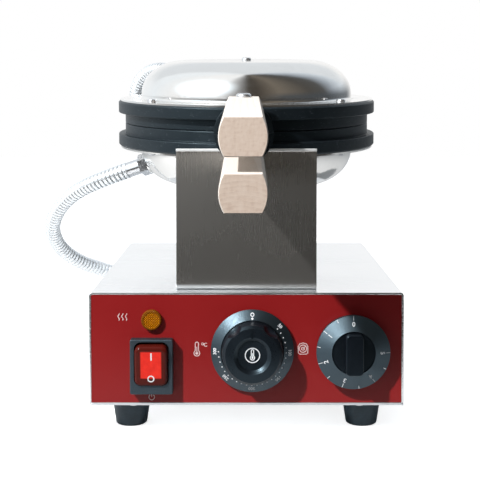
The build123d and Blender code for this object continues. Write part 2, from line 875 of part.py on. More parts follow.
def handle_bolt():
    """Dome-headed bolt through the grip and its rod, with its nut in a recess."""
    head = bar(6.0, 0, 3.2)
    head = fillet(head.edges().group_by(Axis.Z)[-1], 2.4)
    bolt = head + bar(handle_bolt_r, handle_gap / 2 + 0.5 - handle_top, 0)
    low = handle_gap / 2 + 0.8
    place = Pos(0, handle_back - handle_bolt_inset, 0)
    return [place * Pos(0, 0, handle_top) * bolt, place * nut(10, 3.02, low, low + 4)]


def bulb():
    """Thermostat bulb clipped to the back of the lower mould."""
    return Pos(0, 30, plate_back + 3.1) * Rot(0, 90, 0) * bar(3.0, -30, 30)


def hinge_pin():
    """Headed pin through the hinge's knuckles."""
    reach = knuckle_w / 2 + knuckle_gap + side_knuckle_w + 0.2
    return bar(pin_r, -reach - 3.5, reach) + bar(6.0, reach, reach + 3)


def hinge_clip():
    """Spring clip on the plain end of the hinge pin."""
    reach = knuckle_w / 2 + knuckle_gap + side_knuckle_w + 0.4
    return ring(6.5, pin_r + 0.02, -reach - 1.2, -reach) - slab(-2, 2, 0, 9, -60, 0)


def hose(name, route):
    """Ribbed metal hose with its bore. Prints its bend radii and its volume."""
    points = [Vector(*p) for p in route]
    runs = [b - a for a, b in zip(points, points[1:])]
    radii = []
    for run, following in zip(runs, runs[1:]):
        shorter = min(run.length, following.length)
        half_turn = radians(run.get_angle(following) / 2)
        radii.append(0.45 * shorter * cos(half_turn) / sin(half_turn))
    path = FilletPolyline(*points, radius=radii)
    count = round(path.length / hose_pitch)
    pitch = path.length / count
    steps = ((0.0, hose_groove_r), (0.3, hose_r), (0.7, hose_r), (0.95, hose_groove_r))
    circles = []
    for rib in range(count):
        for part, radius in steps:
            circles.append(hose_circle(path, (rib + part) * pitch, radius))
    circles.append(hose_circle(path, path.length, hose_groove_r))
    bore = sweep(hose_circle(path, 0, hose_bore_r), path=path)
    tube = loft(circles, ruled=True) - bore
    print(name, "radii", [round(r) for r in radii], "runs", [round(r.length) for r in runs])
    mean_area = pi * (0.675 * hose_r**2 + 0.325 * hose_groove_r**2 - hose_bore_r**2)
    print(name, "length", round(path.length), "ribs", count)
    print(name, "volume", round(tube.volume), "section times length", round(mean_area * path.length))
    return tube


def hose_circle(path, at, radius):
    """Circle across a hose's path at a distance along it."""
    centre = path.position_at(at, position_mode=PositionMode.LENGTH)
    along = path.tangent_at(at, position_mode=PositionMode.LENGTH)
    across = Vector(0, 0, 1).cross(along) if abs(along.Z) < 0.7 else Vector(1, 0, 0)
    across = across - along * across.dot(along)
    return Plane(origin=centre, x_dir=across, z_dir=along) * Circle(radius)


for half, flip, route in (("lower", -1, lower_route), ("upper", 1, upper_route)):
    turn = iron * over if flip < 0 else iron
    grip_side = turn * Pos(flip * pivot_x, 0, 0)
    save(f"{half}_mould", turn * mould_half(flip))
    save(f"{half}_heater", turn * heater())
    save(f"{half}_clamp_plate", turn * clamp_plate())
    save(f"{half}_clamp_nut", turn * clamp_nut())
    save(f"{half}_dome", turn * dome(route, flip))
    save(f"{half}_dome_screws", *[turn * s for s in rim_screw_set()])
    save(f"{half}_centre_screw", turn * centre_screw())
    save(f"{half}_handle", grip_side * handle())
    save(f"{half}_handle_rod", grip_side * handle_rod())
    save(f"{half}_handle_bolt", *[grip_side * s for s in handle_bolt()])
    save(f"{half}_hose_fitting", hose_fitting(route))
    save(f"{half}_hose", hose(f"{half}_hose", route))

hinge_place = iron * Pos(pivot_x, hinge_y, 0) * Rot(0, 90, 0)
save("thermostat_bulb", iron * over * bulb())
save("hinge_pin", hinge_place * hinge_pin())
save("hinge_clip", hinge_place * hinge_clip())

whole = Compound(children=list(nodes.values())).bounding_box()
print(len(nodes), "nodes, box", whole.min, whole.max)
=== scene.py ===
import bpy
import json
from math import cos, hypot, pi, radians, sin

from mathutils import Matrix, Vector


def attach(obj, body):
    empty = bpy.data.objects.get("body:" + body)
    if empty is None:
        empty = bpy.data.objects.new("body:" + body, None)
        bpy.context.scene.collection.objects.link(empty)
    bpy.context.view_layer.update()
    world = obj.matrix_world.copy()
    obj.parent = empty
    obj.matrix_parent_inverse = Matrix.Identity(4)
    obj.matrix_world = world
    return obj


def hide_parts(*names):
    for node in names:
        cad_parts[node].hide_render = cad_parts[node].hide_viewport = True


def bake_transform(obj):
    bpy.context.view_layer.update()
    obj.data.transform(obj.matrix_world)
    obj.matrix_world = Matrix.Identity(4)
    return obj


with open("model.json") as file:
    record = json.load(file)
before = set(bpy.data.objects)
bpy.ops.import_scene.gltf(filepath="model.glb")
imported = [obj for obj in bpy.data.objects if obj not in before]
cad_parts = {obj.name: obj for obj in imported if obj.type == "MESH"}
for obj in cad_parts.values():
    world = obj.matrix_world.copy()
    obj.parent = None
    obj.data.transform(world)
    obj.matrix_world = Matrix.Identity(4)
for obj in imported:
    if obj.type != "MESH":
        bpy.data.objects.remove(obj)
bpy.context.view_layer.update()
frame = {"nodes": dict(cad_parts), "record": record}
nodes = frame["nodes"]
MM = 0.001

# Front panel and its controls: the panel's plane, and each control's centre in X and Z, in millimetres.
PANEL_Y = -61.0
SWITCH = (-75.0, 57.4)
LAMP = (-75.3, 91.1)
THERMOSTAT = (4.7, 66.8)
TIMER = (84.2, 66.8)

# Routes of the two hoses from the iron to the rear elbows, in metres.
LOWER_ROUTE = [
    (-0.110, 0.096, 0.200),
    (-0.136, 0.102, 0.191),
    (-0.165, 0.121, 0.177),
    (-0.185, 0.142, 0.159),
    (-0.196, 0.165, 0.137),
    (-0.193, 0.189, 0.115),
    (-0.176, 0.211, 0.096),
    (-0.151, 0.233, 0.084),
    (-0.126, 0.250, 0.072),
    (-0.099, 0.257, 0.064),
    (-0.071, 0.258, 0.060),
    (-0.043, 0.258, 0.060),
]
UPPER_ROUTE_TOP = [
    (-0.063, 0.170, 0.290),
    (-0.078, 0.193, 0.296),
    (-0.099, 0.214, 0.297),
    (-0.116, 0.234, 0.283),
    (-0.1175, 0.242, 0.2705),
]
UPPER_ROUTE_DROP = [
    (-0.1175, 0.242, 0.2705),
    (-0.119, 0.250, 0.258),
    (-0.110, 0.257, 0.231),
    (-0.094, 0.256, 0.207),
    (-0.074, 0.257, 0.187),
    (-0.054, 0.258, 0.165),
    (-0.042, 0.258, 0.140),
    (-0.042, 0.258, 0.112),
]

# The iron's upright axis in X and Y, and its tilt in degrees.
IRON_AXIS = (-0.001, 0.0719)
IRON_TILT = 3.4

# Heights of the stand's rolled lip and of the fold at its foot; the hose and its ribs. All in metres.
STAND_LIP = 0.2264
STAND_FOLD = 0.1125
HOSE_D = 0.0152
HOSE_GROOVE = 0.0011
RIB_PITCH = 0.0042
RINGS_PER_RIB = 10


# Studio

def photo_camera():
    """Camera at the height of the iron, a little above the machine's front."""
    data = bpy.data.cameras.new("photo_camera")
    data.sensor_width = 36
    data.lens = 80.211
    data.shift_x = -0.01258
    data.shift_y = -0.21325
    camera = bpy.data.objects.new("photo_camera", data)
    camera.location = (-0.0003, -0.9046, 0.2651)
    camera.rotation_euler = (radians(88), 0, 0)
    bpy.context.scene.collection.objects.link(camera)
    bpy.context.scene.camera = camera


def key_light():
    """Small strong lamp, high at the front left, that faces the machine."""
    place = Vector((-1.45, -1.46, 1.845))
    target = Vector((0, 0, 0.14))
    data = bpy.data.lights.new("key_window", "AREA")
    data.size = 0.075
    data.energy = 110
    data.color = (1.0, 0.985, 0.965)
    lamp = bpy.data.objects.new("key_window", data)
    lamp.location = place
    lamp.rotation_euler = (target - place).to_track_quat("-Z", "Y").to_euler()
    bpy.context.scene.collection.objects.link(lamp)


class Wiring:
    """Short calls for building a node tree."""

    def __init__(self, tree):
        self.tree = tree

    def feed(self, socket, value):
        """Link an output to a socket, or set the socket's own value."""
        if isinstance(value, bpy.types.NodeSocket):
            self.tree.links.new(value, socket)
        elif hasattr(socket.default_value, "__len__") and len(socket.default_value) == 4:
            socket.default_value = (*value[:3], 1)
        else:
            socket.default_value = value

    def node(self, kind, inputs=None, **settings):
        made = self.tree.nodes.new(kind)
        for name, value in settings.items():
            setattr(made, name, value)
        for name, value in (inputs or {}).items():
            self.feed(made.inputs[name], value)
        return made

    def math(self, kind, first, second=0.0):
        return self.node("ShaderNodeMath", {0: first, 1: second}, operation=kind).outputs[0]

    def span(self, value, low, high, to_low=0.0, to_high=1.0, smooth=False):
        """Carry a value from one span to another, held inside it."""
        made = self.node("ShaderNodeMapRange", {0: value, 1: low, 2: high, 3: to_low, 4: to_high})
        made.interpolation_type = "SMOOTHSTEP" if smooth else "LINEAR"
        return made.outputs[0]

    def ramp(self, value, stops):
        """Colours that follow a value from 0 to 1."""
        made = self.node("ShaderNodeValToRGB", {0: value})
        marks = made.color_ramp.elements
        while len(marks) < len(stops):
            marks.new(1.0)
        for mark, (at, colour) in zip(marks, stops):
            mark.position = at
            mark.color = (*colour, 1)
        return made.outputs[0]

    def mix(self, factor, first, second, kind="MIX"):
        made = self.node("ShaderNodeMix", data_type="RGBA", blend_type=kind)
        self.feed(made.inputs[0], factor)
        self.feed(made.inputs[6], first)
        self.feed(made.inputs[7], second)
        return made.outputs[2]


def studio_room():
    """White backdrop, and a room that is bright behind and at the left and dark in front."""
    world = bpy.data.worlds.new("studio_room")
    world.use_nodes = True
    bpy.context.scene.world = world
    wiring = Wiring(world.node_tree)
    background = world.node_tree.nodes["Background"]
    direction = wiring.node("ShaderNodeTexCoord").outputs["Generated"]
    x, y, z = wiring.node("ShaderNodeSeparateXYZ", {0: direction}).outputs
    turn = wiring.math("ARCTAN2", x, wiring.math("MULTIPLY", y, -1.0))
    walls = wiring.ramp(wiring.span(turn, -pi, pi), [
        (0.000, (1.00, 1.00, 1.00)),
        (0.170, (0.96, 1.02, 1.07)),
        (0.270, (1.02, 1.03, 1.04)),
        (0.415, (1.06, 1.08, 1.10)),
        (0.450, (0.56, 0.57, 0.58)),
        (0.484, (0.24, 0.24, 0.24)),
        (0.506, (0.060, 0.052, 0.042)),
        (0.535, (0.065, 0.055, 0.045)),
        (0.600, (0.185, 0.160, 0.130)),
        (0.700, (0.080, 0.075, 0.068)),
        (0.760, (0.090, 0.090, 0.088)),
        (0.800, (0.340, 0.380, 0.430)),
        (0.860, (0.720, 0.790, 0.860)),
        (0.940, (1.00, 1.00, 1.00)),
    ])

    # What the metal mirrors: walls, a dark screen low at the right, a pale ceiling behind, a dark floor
    # in front, and the bright window that the key light stands in.
    low = wiring.span(z, 0.02, -0.16, smooth=True)
    screen = wiring.math("MULTIPLY", wiring.span(x, 0.25, 0.65), wiring.span(z, 0.30, 0.05, 0.0, 0.85))
    room = wiring.mix(screen, walls, (0.07, 0.08, 0.09))
    sideways = wiring.math("MULTIPLY", wiring.math("ABSOLUTE", x), 0.85)
    behind = wiring.span(wiring.math("SUBTRACT", y, sideways), -0.05, 0.07, smooth=True)
    ceiling = wiring.math("MULTIPLY", behind, wiring.span(z, 0.30, 0.50))
    room = wiring.mix(ceiling, room, (0.80, 0.84, 0.88))
    room = wiring.mix(low, room, (0.045, 0.042, 0.038))
    window_way = (-0.674, -0.543, 0.489)
    toward = wiring.node("ShaderNodeVectorMath", {0: direction, 1: window_way}, operation="DOT_PRODUCT")
    window = wiring.span(toward.outputs["Value"], 0.78, 1.0, smooth=True)
    shine = wiring.mix(window, room, (1.5, 1.7, 1.85))

    # What lights matt surfaces: the same walls, much dimmer, under a soft ceiling.
    soft = wiring.mix(1.0, walls, (0.045, 0.045, 0.045), "MULTIPLY")
    soft = wiring.mix(wiring.span(z, 0.25, 0.80, smooth=True), soft, (0.36, 0.38, 0.40))
    soft = wiring.mix(low, soft, (0.03, 0.03, 0.03))
    path = wiring.node("ShaderNodeLightPath").outputs
    colour = wiring.mix(path["Is Diffuse Ray"], shine, soft)
    wiring.feed(background.inputs["Color"], wiring.mix(path["Is Camera Ray"], colour, (1, 1, 1)))
    background.inputs["Strength"].default_value = 1.0


def studio_floor():
    """Pale floor that ends in front of the machine and keeps a light shadow."""
    mesh = bpy.data.meshes.new("studio_floor")
    corners = [(-3, -0.25, 0), (3, -0.25, 0), (3, 4, 0), (-3, 4, 0)]
    mesh.from_pydata(corners, [], [(0, 1, 2, 3)])
    floor = bpy.data.objects.new("studio_floor", mesh)
    bpy.context.scene.collection.objects.link(floor)
    material = bpy.data.materials.new("pale_floor")
    material.use_nodes = True
    wiring = Wiring(material.node_tree)
    shader = material.node_tree.nodes["Principled BSDF"]
    shader.inputs["Roughness"].default_value = 0.9
    shader.inputs["Emission Color"].default_value = (1, 1, 1, 1)
    path = wiring.node("ShaderNodeLightPath").outputs
    seen = wiring.mix(path["Is Glossy Ray"], (0.88, 0.89, 0.90), (0.76, 0.77, 0.78))
    wiring.feed(shader.inputs["Base Color"], wiring.mix(path["Is Diffuse Ray"], seen, (0.24, 0.24, 0.24)))
    wiring.feed(shader.inputs["Emission Strength"], wiring.math("MULTIPLY", path["Is Camera Ray"], 0.80))
    mesh.materials.append(material)


bpy.context.scene.view_settings.view_transform = "Standard"
photo_camera()
studio_room()
studio_floor()
key_light()


# Finishes. Places and depths are in metres.

COOL_TINT = (0.60, 0.84, 1.0, 1)


class Finish(Wiring):
    """A procedural material in the making: its shader and the texture that feeds it."""

    def __init__(self, name, colour, roughness, metallic=0.0, **sockets):
        self.material = bpy.data.materials.new(name)
        self.material.use_nodes = True
        super().__init__(self.material.node_tree)
        self.shader = self.tree.nodes["Principled BSDF"]
        self.place = self.node("ShaderNodeTexCoord").outputs["Object"]
        self.set("Base Color", colour)
        self.set("Roughness", roughness)
        self.set("Metallic", metallic)
        for socket, value in sockets.items():
            self.set(socket.replace("_", " "), value)

    def set(self, socket, value):
        self.feed(self.shader.inputs[socket], value)

    def stretched(self, scale, turn=(0, 0, 0), shift=(0, 0, 0)):
        """The piece's own coordinates, scaled along each axis."""
        inputs = {"Vector": self.place, "Scale": scale, "Rotation": turn, "Location": shift}
        return self.node("ShaderNodeMapping", inputs).outputs[0]

    def axes(self, where):
        """The three parts of a place."""
        return self.node("ShaderNodeSeparateXYZ", {0: where}).outputs

    def noise(self, where, scale=1.0, detail=3.0, roughness=0.5):
        inputs = {"Vector": where, "Scale": scale, "Detail": detail, "Roughness": roughness}
        return self.node("ShaderNodeTexNoise", inputs).outputs[0]

    def specks(self, where, scale):
        """Distance to the nearest of a cloud of points."""
        return self.node("ShaderNodeTexVoronoi", {"Vector": where, "Scale": scale}).outputs["Distance"]

    def distance_from(self, centre):
        """Distance from an axis through the panel, at a centre in X and Z."""
        shifted = self.stretched((1, 0, 1), shift=(-centre[0] * MM, 0, -centre[1] * MM))
        return self.node("ShaderNodeVectorMath", {0: shifted}, operation="LENGTH").outputs["Value"]

    def round_edges(self, radius):
        """Catch the light along edges as if they were eased by a radius."""
        self.set("Normal", self.node("ShaderNodeBevel", {"Radius": radius}, samples=4).outputs[0])

    def relief(self, height, depth, strength=1.0):
        """Bump the shader's normal, after any relief that it has; depth is what a height of 1 comes to."""
        inputs = {"Height": height, "Distance": depth, "Strength": strength}
        normal = self.shader.inputs["Normal"]
        if normal.is_linked:
            inputs["Normal"] = normal.links[0].from_socket
        self.set("Normal", self.node("ShaderNodeBump", inputs).outputs[0])


def brushed_steel(name, colour, roughness, grain, contrast=1.0, metallic=1.0):
    """Steel brushed in one direction: grain is the scale along each axis, low along the strokes."""
    steel = Finish(name, colour, roughness, metallic)
    strokes = steel.noise(steel.stretched(grain), 1.0, 4.0, 0.6)
    fine = steel.noise(steel.stretched([g * 2.7 for g in grain]), 1.0, 3.0, 0.6)
    smudge = steel.noise(steel.place, 11.0, 4.0, 0.55)
    both = steel.math("ADD", steel.math("MULTIPLY", strokes, 0.5), steel.math("MULTIPLY", fine, 0.5))
    spread = 0.05 * contrast
    dull = steel.span(both, 0.3, 0.7, roughness - spread, roughness + spread)
    steel.set("Roughness", steel.math("ADD", dull, steel.span(smudge, 0.4, 0.75, 0.0, 0.05)))
    dark = [c * (1 - 0.10 * contrast) for c in colour]
    steel.set("Base Color", steel.mix(steel.span(both, 0.3, 0.7), dark, colour))
    steel.round_edges(0.0009)
    steel.relief(both, 0.00003 * contrast, 0.5)
    return steel


def stand_steel():
    """Sheet brushed upright, with a dull lip along its top and a clean fold at its foot; both carry a painted
    highlight.
    """
    steel = brushed_steel("stand_steel", (0.57, 0.56, 0.54), 0.26, (1300, 1300, 7), 0.22, 0.95)
    height = steel.axes(steel.place)[2]
    lip = steel.span(height, STAND_LIP - 0.0026, STAND_LIP - 0.0018)
    fold = steel.span(height, STAND_FOLD + 0.0050, STAND_FOLD + 0.0040)
    painted_highlight_bands = steel.math("MAXIMUM", lip, fold)
    brushing = steel.shader.inputs["Roughness"].links[0].from_socket
    steel.set("Roughness", steel.mix(lip, steel.mix(fold, brushing, (0.16, 0.16, 0.16)), (0.52, 0.52, 0.52)))
    steel.set("Anisotropic", steel.span(painted_highlight_bands, 0.0, 1.0, 0.75, 0.0))
    # Painted highlight: the lip and the fold get a near-white base colour that stands in for the light they
    # catch.
    steel.set("Base Color", steel.mix(painted_highlight_bands, (0.51, 0.495, 0.47), (0.95, 0.97, 0.98)))
    return steel.material


def polished_steel(name, colour, roughness):
    """Pressed and polished steel: round polishing strokes, faint waves and fingerprints."""
    steel = Finish(name, colour, roughness, 1.0)
    x, y, z = steel.axes(steel.stretched((1, 1, 1), shift=(-IRON_AXIS[0], -IRON_AXIS[1], 0)))
    squares = steel.math("ADD", steel.math("MULTIPLY", x, x), steel.math("MULTIPLY", y, y))
    radius = steel.math("SQRT", squares)
    turned = {0: steel.math("MULTIPLY", radius, 900.0), 1: steel.math("MULTIPLY", z, 700.0)}
    lathe = steel.noise(steel.node("ShaderNodeCombineXYZ", turned).outputs[0], 1.0, 4.0, 0.6)
    waves = steel.noise(steel.place, 16.0, 2.0, 0.5)
    prints = steel.noise(steel.place, 48.0, 5.0, 0.65)
    dull = steel.span(lathe, 0.3, 0.7, roughness - 0.02, roughness + 0.04)
    steel.set("Roughness", steel.math("ADD", dull, steel.span(prints, 0.5, 0.72, 0.0, 0.05)))
    steel.set("Base Color", steel.mix(steel.span(prints, 0.45, 0.75), colour, [c * 0.95 for c in colour]))
    steel.relief(waves, 0.0009, 0.35)
    steel.relief(lathe, 0.00003, 0.35)
    return steel.material


def plated_steel(name, colour, roughness):
    """Small plated or turned parts: fine mottling and dull patches."""
    steel = Finish(name, colour, roughness, 1.0)
    mottle = steel.noise(steel.place, 420.0, 4.0, 0.6)
    patch = steel.noise(steel.place, 70.0, 3.0, 0.5)
    dull = steel.span(mottle, 0.3, 0.7, roughness - 0.06, roughness + 0.08)
    steel.set("Roughness", steel.math("ADD", dull, steel.span(patch, 0.45, 0.7, 0.0, 0.08)))
    steel.set("Base Color", steel.mix(steel.span(patch, 0.35, 0.7), colour, [c * 0.82 for c in colour]))
    steel.relief(mottle, 0.00005, 0.5)
    return steel.material


def red_coat():
    """Powder-coated red sheet: fine orange peel and a soft sheen."""
    paint = Finish("red_coat", (0.245, 0.0085, 0.0095), 0.38, Specular_IOR_Level=0.35)
    peel = paint.noise(paint.place, 900.0, 2.0, 0.5)
    broad = paint.noise(paint.place, 14.0, 3.0, 0.5)
    shade = paint.span(broad, 0.3, 0.7)
    paint.set("Base Color", paint.mix(shade, (0.232, 0.0080, 0.0090), (0.258, 0.0092, 0.0102)))
    dull = paint.span(peel, 0.3, 0.7, 0.31, 0.40)
    paint.set("Roughness", paint.math("ADD", dull, paint.span(broad, 0.4, 0.7, 0.0, 0.04)))
    paint.relief(peel, 0.00012, 0.35)
    return paint.material


def spark_plastic(name, colour, roughness, texture=1500.0, depth=0.00006, gloss=0.5, ior=1.5):
    """Moulded plastic with a fine spark texture and slightly worn high spots."""
    plastic = Finish(name, colour, roughness, Specular_IOR_Level=gloss, Specular_Tint=COOL_TINT, IOR=ior)
    spark = plastic.noise(plastic.place, texture, 2.0, 0.6)
    wear = plastic.noise(plastic.place, 60.0, 4.0, 0.6)
    plastic.set("Base Color", plastic.mix(plastic.span(wear, 0.5, 0.75), colour, [c * 1.6 for c in colour]))
    dull = plastic.span(spark, 0.3, 0.7, roughness - 0.06, roughness + 0.08)
    plastic.set("Roughness", plastic.math("ADD", dull, plastic.span(wear, 0.45, 0.7, 0.0, 0.05)))
    plastic.relief(spark, depth, 0.7)
    return plastic


def timer_plastic():
    """Plastic of the timer's knob: smooth hub and grip, rough bright cone round them."""
    plastic = spark_plastic("timer_plastic", (0.003, 0.004, 0.006), 0.31, 1200.0, 0.00012, ior=1.7)
    radius = plastic.distance_from(TIMER)
    cone = plastic.span(radius, 0.0168, 0.0174)
    rough = plastic.span(plastic.noise(plastic.place, 1300.0, 3.0, 0.6), 0.3, 0.7, 0.40, 0.54)
    plastic.set("Roughness", plastic.mix(cone, (0.30, 0.30, 0.30), rough))
    plastic.set("Specular IOR Level", plastic.span(cone, 0.0, 1.0, 0.18, 0.72))
    plastic.relief(plastic.span(radius, 0.0172, 0.0291, 0.0, -0.0028), 1.0)
    return plastic.material


def skirt_plastic():
    """Plastic of the thermostat's skirt: rough and bright, steeper towards its rim."""
    colour = (0.003, 0.0045, 0.006)
    plastic = spark_plastic("skirt_plastic", colour, 0.38, 1100.0, 0.00020, gloss=0.70, ior=1.66)
    radius = plastic.distance_from(THERMOSTAT)
    plastic.relief(plastic.span(radius, 0.0222, 0.0330, 0.0, -0.0022), 1.0)
    return plastic.material


def cap_plastic():
    """Plastic of the thermostat's cap: smooth, with an eased wall round its dish."""
    plastic = spark_plastic("cap_plastic", (0.003, 0.004, 0.006), 0.31, gloss=0.45)
    radius = plastic.distance_from(THERMOSTAT)
    plastic.relief(plastic.span(radius, 0.0115, 0.0133, 0.0, -0.0009), 1.0)
    return plastic.material


def nonstick_coat():
    """Black non-stick coating on a casting: fine grain with bright specks."""
    coat = Finish("nonstick_coat", (0.006, 0.009, 0.012), 0.42, Specular_IOR_Level=0.42,
                  Specular_Tint=(0.66, 0.88, 1.0, 1))
    grain = coat.noise(coat.place, 1100.0, 3.0, 0.6)
    broad = coat.noise(coat.place, 30.0, 4.0, 0.6)
    specks = coat.span(coat.specks(coat.place, 650.0), 0.16, 0.05)
    spark = coat.math("MULTIPLY", specks, coat.span(coat.noise(coat.place, 240.0), 0.5, 0.62))
    base = coat.mix(coat.span(broad, 0.35, 0.7), (0.004, 0.006, 0.008), (0.008, 0.011, 0.014))
    coat.set("Base Color", coat.mix(spark, base, (0.34, 0.40, 0.46)))
    coat.set("Roughness", coat.span(grain, 0.3, 0.7, 0.36, 0.50))
    coat.round_edges(0.0009)
    coat.relief(broad, 0.0003, 0.25)
    coat.relief(grain, 0.00010, 0.6)
    return coat.material


def foot_rubber():
    """Moulded rubber with a dusty bloom."""
    rubber = Finish("foot_rubber", (0.030, 0.048, 0.062), 0.5, Specular_IOR_Level=0.4)
    bloom = rubber.noise(rubber.place, 55.0, 5.0, 0.6)
    grain = rubber.noise(rubber.place, 1300.0, 2.0, 0.5)
    dusty = rubber.span(bloom, 0.4, 0.75)
    rubber.set("Base Color", rubber.mix(dusty, (0.022, 0.037, 0.050), (0.048, 0.076, 0.096)))
    rubber.set("Roughness", rubber.span(bloom, 0.35, 0.7, 0.46, 0.66))
    rubber.relief(grain, 0.00008, 0.6)
    return rubber.material


def handle_wood(name, pith, ring_gap, ring_depth, grid):
    """Beech: growth rings round a pith that runs along the handle, pores and rays on the end grain."""
    wood = Finish(name, (0.7, 0.6, 0.5), 0.55, Specular_IOR_Level=0.35)
    shifted = wood.stretched((1, 1, 1), turn=(radians(-IRON_TILT), 0, 0), shift=pith)
    wander = wood.noise(wood.stretched((38, 2.2, 38)), 1.0, 4.0, 0.6)
    x, _, z = wood.axes(shifted)
    radius = wood.math("SQRT", wood.math("ADD", wood.math("MULTIPLY", x, x), wood.math("MULTIPLY", z, z)))
    radius = wood.math("ADD", radius, wood.span(wander, 0.0, 1.0, -0.0035, 0.0035))
    ring = wood.math("FRACT", wood.math("DIVIDE", radius, ring_gap))
    late = wood.math("MULTIPLY", wood.math("POWER", ring, 2.2), wood.span(wander, 0.25, 0.7, 0.35, 1.0))
    pores = wood.noise(wood.stretched((1500, 60, 1500)), 1.0, 2.0, 0.6)
    weave = wood.noise(wood.stretched((grid, 30, grid * 0.35)), 1.0, 2.0, 0.5)
    cross = wood.noise(wood.stretched((grid * 0.35, 30, grid)), 1.0, 2.0, 0.5)
    rays = wood.math("MULTIPLY", wood.math("ADD", weave, cross), 0.5)
    facing = wood.axes(wood.node("ShaderNodeTexCoord").outputs["Normal"])[1]
    end = wood.span(wood.math("ABSOLUTE", facing), 0.75, 0.92)
    side = wood.mix(wood.math("MULTIPLY", late, 0.5), (0.80, 0.745, 0.69), (0.66, 0.575, 0.49))
    side = wood.mix(wood.span(pores, 0.56, 0.72, 0.0, 0.30), side, (0.52, 0.40, 0.31))
    cut = wood.mix(wood.math("MULTIPLY", late, ring_depth), (0.70, 0.565, 0.470), (0.53, 0.405, 0.328))
    cut = wood.mix(wood.span(rays, 0.44, 0.60, 0.0, 0.45), cut, (0.79, 0.67, 0.58))
    cut = wood.mix(wood.span(rays, 0.44, 0.34, 0.0, 0.45), cut, (0.56, 0.425, 0.345))
    wood.set("Base Color", wood.mix(end, side, cut))
    wood.set("Roughness", wood.span(pores, 0.3, 0.7, 0.50, 0.66))
    wood.relief(wood.math("ADD", late, pores), 0.00010, 0.35)
    return wood.material


def clear_plastic(name, colour, roughness, see_through=0.85):
    """Tinted see-through plastic with a little haze."""
    plastic = Finish(name, colour, roughness, Transmission_Weight=see_through, IOR=1.49)
    haze = plastic.noise(plastic.place, 260.0, 3.0, 0.6)
    plastic.set("Roughness", plastic.span(haze, 0.3, 0.7, roughness - 0.03, roughness + 0.06))
    plastic.relief(haze, 0.00006, 0.4)
    return plastic


def rocker_plastic():
    """Clear red rocker whose middle is lit from behind."""
    plastic = clear_plastic("red_clear_plastic", (0.085, 0.008, 0.005), 0.16, 0.15)
    plastic.set("Specular IOR Level", 0.07)
    x, _, z = plastic.axes(plastic.stretched((1, 1, 1), shift=(-SWITCH[0] * MM, 0, -SWITCH[1] * MM)))
    across = plastic.span(plastic.math("ABSOLUTE", x), 0.0087, 0.0075, smooth=True)
    upright = plastic.span(plastic.math("ABSOLUTE", z), 0.0113, 0.0100, smooth=True)
    cloud = plastic.span(plastic.noise(plastic.place, 190.0, 3.0, 0.6), 0.3, 0.7)
    plastic.set("Emission Color", plastic.mix(cloud, (0.90, 0.030, 0.017), (0.74, 0.018, 0.011)))
    lit = plastic.math("MULTIPLY", across, upright)
    plastic.set("Emission Strength", plastic.math("MULTIPLY", lit, 0.85))
    return plastic.material


def lit_plastic(name, colour, glow):
    """Plastic with a lamp behind it."""
    plastic = Finish(name, colour, 0.45)
    cloud = plastic.noise(plastic.place, 160.0, 3.0, 0.6)
    plastic.set("Base Color", plastic.mix(plastic.span(cloud, 0.3, 0.7), colour, [c * 0.8 for c in colour]))
    plastic.set("Emission Color", colour)
    plastic.set("Emission Strength", glow)
    return plastic.material


def lamp_lens():
    """Amber lens with a raised diamond grid that a small lamp lights from behind."""
    lens = Finish("amber_lens", (0.62, 0.20, 0.004), 0.26, Transmission_Weight=0.2, IOR=1.49,
                  Specular_IOR_Level=0.1, Specular_Tint=(1.0, 0.75, 0.35, 1))
    x, _, z = lens.axes(lens.stretched((2400, 2400, 2400), turn=(0, radians(45), 0)))
    across, upright = (lens.math("ABSOLUTE", lens.math("SINE", way)) for way in (x, z))
    peaks = lens.math("MULTIPLY", across, upright)
    rim = lens.span(lens.distance_from(LAMP), 0.0063, 0.0068)
    glass = lens.mix(peaks, (0.16, 0.028, 0.001), (0.78, 0.32, 0.002))
    lens.set("Base Color", lens.mix(rim, glass, (0.20, 0.060, 0.002)))
    lens.set("Emission Color", lens.mix(peaks, (0.20, 0.035, 0.001), (1.0, 0.38, 0.006)))
    lens.set("Emission Strength", lens.math("MULTIPLY", lens.math("SUBTRACT", 1.0, rim), 0.12))
    lens.relief(peaks, 0.0004, 0.7)
    return lens.material


def hose_metal():
    """Galvanised strip-wound hose: bright crowns, and dull grooves between them darkened with painted shade.
    """
    metal = Finish("hose_steel", (0.72, 0.76, 0.79), 0.24, 0.95)
    crown = metal.node("ShaderNodeAttribute", attribute_name="crown").outputs["Fac"]
    mottle = metal.noise(metal.place, 380.0, 4.0, 0.6)
    bright = metal.mix(metal.span(mottle, 0.35, 0.7), (0.93, 0.96, 0.98), (0.84, 0.87, 0.90))
    # Painted shade: the base colour turns near-black in the grooves between the ribs.
    metal.set("Base Color", metal.mix(metal.span(crown, 0.0, 0.5), (0.08, 0.09, 0.10), bright))
    dull = metal.span(crown, 0.0, 0.8, 0.50, 0.26)
    metal.set("Roughness", metal.math("ADD", dull, metal.span(mottle, 0.4, 0.7, 0.0, 0.10)))
    metal.relief(mottle, 0.00004, 0.5)
    return metal.material


def plain_ceramic():
    """Unglazed ceramic with fine pits."""
    ceramic = Finish("unglazed_ceramic", (0.80, 0.77, 0.70), 0.7)
    pits = ceramic.noise(ceramic.place, 500.0, 4.0, 0.6)
    pitted = ceramic.span(pits, 0.35, 0.65)
    ceramic.set("Base Color", ceramic.mix(pitted, (0.70, 0.66, 0.58), (0.84, 0.81, 0.75)))
    ceramic.relief(pits, 0.0001, 0.6)
    return ceramic.material


def printed_ink(name, colour):
    """Screen-printed ink, slightly uneven."""
    ink = Finish(name, colour, 0.45)
    cover = ink.noise(ink.place, 1400.0, 3.0, 0.6)
    ink.set("Base Color", ink.mix(ink.span(cover, 0.35, 0.7), colour, [c * 0.82 for c in colour]))
    ink.set("Roughness", ink.span(cover, 0.3, 0.7, 0.40, 0.55))
    return ink.material


